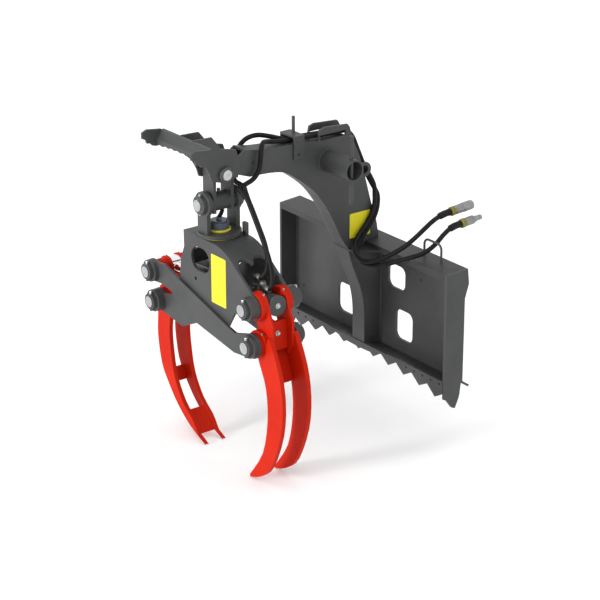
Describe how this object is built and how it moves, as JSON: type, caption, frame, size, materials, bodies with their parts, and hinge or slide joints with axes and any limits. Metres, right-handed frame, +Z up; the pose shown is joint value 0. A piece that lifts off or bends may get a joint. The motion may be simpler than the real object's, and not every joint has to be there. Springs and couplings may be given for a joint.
{
  "type": "log grapple",
  "caption": "Log grapple on a quick-attach frame: a boom carries a hanger, rotator and head whose two curved claws close together under a hydraulic cylinder.",
  "frame": {"origin": "centre of the quick-attach frame's rear face", "axes": "+Y out of the rear face towards the carrier, +X across the frame, +Z up, the claws hang in front at -Y"},
  "size_m": [1.133, 1.3073, 1.3885],
  "materials": {
    "frame_paint": "satin charcoal paint",
    "pin_steel": "zinc plated steel",
    "hose_rubber": "black hose rubber",
    "claw_paint": "satin red-orange paint",
    "rod_chrome": "hard chrome",
    "coupler_zinc": "dull zinc plate",
    "cap_paint": "blue-grey paint",
    "ring_paint": "yellow paint"
  },
  "bodies": {
    "mount_frame": {"mount_plate": "frame_paint", "top_flange": "frame_paint", "side_plate_left": "frame_paint", "side_plate_right": "frame_paint", "lower_flange": "frame_paint", "tooth_bar": "frame_paint", "wedge_pin_flange": "frame_paint", "post_plates": "frame_paint", "boom_plate_left": "frame_paint", "boom_plate_right": "frame_paint", "boom_top_plate": "frame_paint", "boom_bottom_plate": "frame_paint", "boom_rear_plate": "frame_paint", "cross_tube": "frame_paint", "tube_rod": "frame_paint", "hose_strap": "frame_paint", "hose_guide": "frame_paint", "hose_hook": "frame_paint", "nose_plate_left": "frame_paint", "nose_plate_right": "frame_paint", "fork_bar": "frame_paint", "nose_pin": "pin_steel", "boom_hoses": "hose_rubber", "nose_hoses": "hose_rubber", "hose_tail_upper": "hose_rubber", "hose_tail_lower": "hose_rubber", "couplers": "coupler_zinc"},
    "crosshead": {"crosshead": "frame_paint", "yoke_hoses": "hose_rubber"},
    "swivel": {"swivel_yoke": "frame_paint", "cross_pin": "pin_steel", "rotator_cap": "cap_paint", "king_nut": "frame_paint", "head_hoses": "hose_rubber"},
    "head": {"head_front_plate": "frame_paint", "head_rear_plate": "frame_paint", "head_cover": "frame_paint", "head_web": "frame_paint", "seal_ring": "ring_paint", "claw_pin_left": "pin_steel", "claw_pin_right": "pin_steel", "head_collars": "frame_paint"},
    "left_claw": {"left_blades": "claw_paint", "left_brackets": "claw_paint", "left_braces": "claw_paint", "link_pin_left": "pin_steel", "left_collars": "frame_paint"},
    "right_claw": {"right_blades": "claw_paint", "right_brackets": "claw_paint", "right_braces": "claw_paint", "link_pin_right": "pin_steel", "right_collars": "frame_paint"},
    "sync_link": {"link_front": "frame_paint", "link_rear": "frame_paint"},
    "barrel": {"cylinder_barrel": "frame_paint", "cylinder_gland": "frame_paint"},
    "rod": {"cylinder_rod": "rod_chrome"}
  },
  "joints": [
    {"name": "nose_pitch", "type": "hinge", "parent": "mount_frame", "child": "crosshead", "pos_m": [0, -0.829, 0.735], "axis": [1, 0, 0], "range_deg": [-25, 6], "deforming": ["nose_hoses"]},
    {"name": "side_swing", "type": "hinge", "parent": "crosshead", "child": "swivel", "pos_m": [0, -0.829, 0.612], "axis": [0, 1, 0], "range_deg": [-12, 12], "deforming": ["yoke_hoses"]},
    {"name": "rotator", "type": "hinge", "parent": "swivel", "child": "head", "pos_m": [0, -0.829, 0.476], "axis": [0, 0, 1], "range_deg": [-60, 60], "deforming": ["head_hoses"]},
    {"name": "left_claw_swing", "type": "hinge", "parent": "head", "child": "left_claw", "pos_m": [-0.318, -0.829, 0.105], "axis": [0, -1, 0], "range_deg": [-22, 16]},
    {"name": "right_claw_swing", "type": "hinge", "parent": "head", "child": "right_claw", "pos_m": [0.338, -0.829, 0.28], "axis": [0, -1, 0], "range_deg": [-12.5, 17.2]},
    {"name": "link_turn", "type": "hinge", "parent": "left_claw", "child": "sync_link", "pos_m": [-0.34, -0.829, 0.232], "axis": [0, -1, 0], "range_deg": [-16.2, 22.3]},
    {"name": "barrel_turn", "type": "hinge", "parent": "head", "child": "barrel", "pos_m": [0.338, -0.829, 0.28], "axis": [0, -1, 0], "range_deg": [-0.25, 0.2]},
    {"name": "rod_slide", "type": "slide", "parent": "barrel", "child": "rod", "axis": [-0.9975, 0, -0.0706], "range_m": [-0.0495, 0.036]}
  ],
  "couplings": [
    {"joint": "right_claw_swing", "follows": "left_claw_swing", "ratio": -0.7746},
    {"joint": "link_turn", "follows": "left_claw_swing", "ratio": -1.0074},
    {"joint": "barrel_turn", "follows": "left_claw_swing", "ratio": 0.0092},
    {"joint": "rod_slide", "follows": "left_claw_swing", "m_per_rad": 0.1265}
  ]
}
